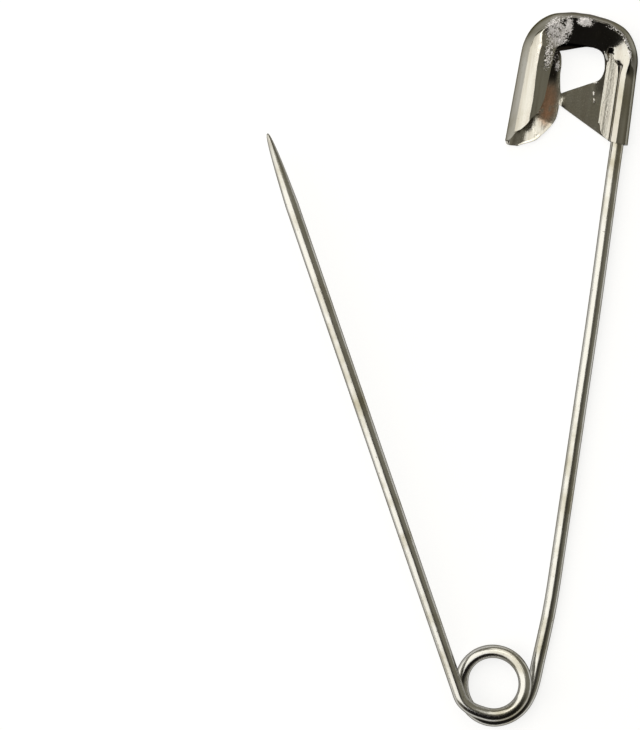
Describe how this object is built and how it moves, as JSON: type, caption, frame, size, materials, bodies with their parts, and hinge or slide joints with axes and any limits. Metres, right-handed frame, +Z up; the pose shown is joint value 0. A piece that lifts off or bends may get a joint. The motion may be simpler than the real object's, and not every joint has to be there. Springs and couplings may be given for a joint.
{
  "type": "safety pin",
  "caption": "Open safety pin: a spring wire bent into a back arm, a coil and a pointed pin arm, with a folded sheet clasp that shields the point when the pin is closed.",
  "frame": {"origin": "centre of the bounding box of the open pin, on the table that it lies on", "axes": "+Y along the back arm from the coil to the clasp, +Z up off the table, out of the clasp's front"},
  "size_m": [0.0266, 0.0536, 0.0033],
  "materials": {
    "plated_sheet": "thin steel sheet, bright nickel plate with a slight warm cast",
    "plated_wire": "hard-drawn steel wire, bright nickel plate with fine drawing lines"
  },
  "bodies": {
    "clasp_and_back": {"clasp_cap": "plated_sheet", "back_arm": "plated_wire", "spring_coil": "plated_wire"},
    "foot": {"pin_foot": "plated_wire"},
    "shank": {"pin_shank": "plated_wire"},
    "needle": {"pin_needle": "plated_wire"}
  },
  "joints": [
    {"name": "pin_swing", "type": "hinge", "parent": "clasp_and_back", "child": "foot", "pos_m": [0.00931, -0.0236, 0], "axis": [0, 0, -1], "range_deg": [0, 25.1], "stiffness_Nm_per_rad": 0.2},
    {"name": "pin_tuck", "type": "hinge", "parent": "foot", "child": "shank", "pos_m": [0.00554, -0.02215, 0.00153], "axis": [-0.889, -0.4579, 0], "range_deg": [0, 2.69], "stiffness_Nm_per_rad": 0.4},
    {"name": "pin_squeeze", "type": "hinge", "parent": "shank", "child": "needle", "pos_m": [0.0037, -0.01749, 0.00214], "axis": [0, 0, 1], "range_deg": [-4, 0], "stiffness_Nm_per_rad": 0.5}
  ]
}
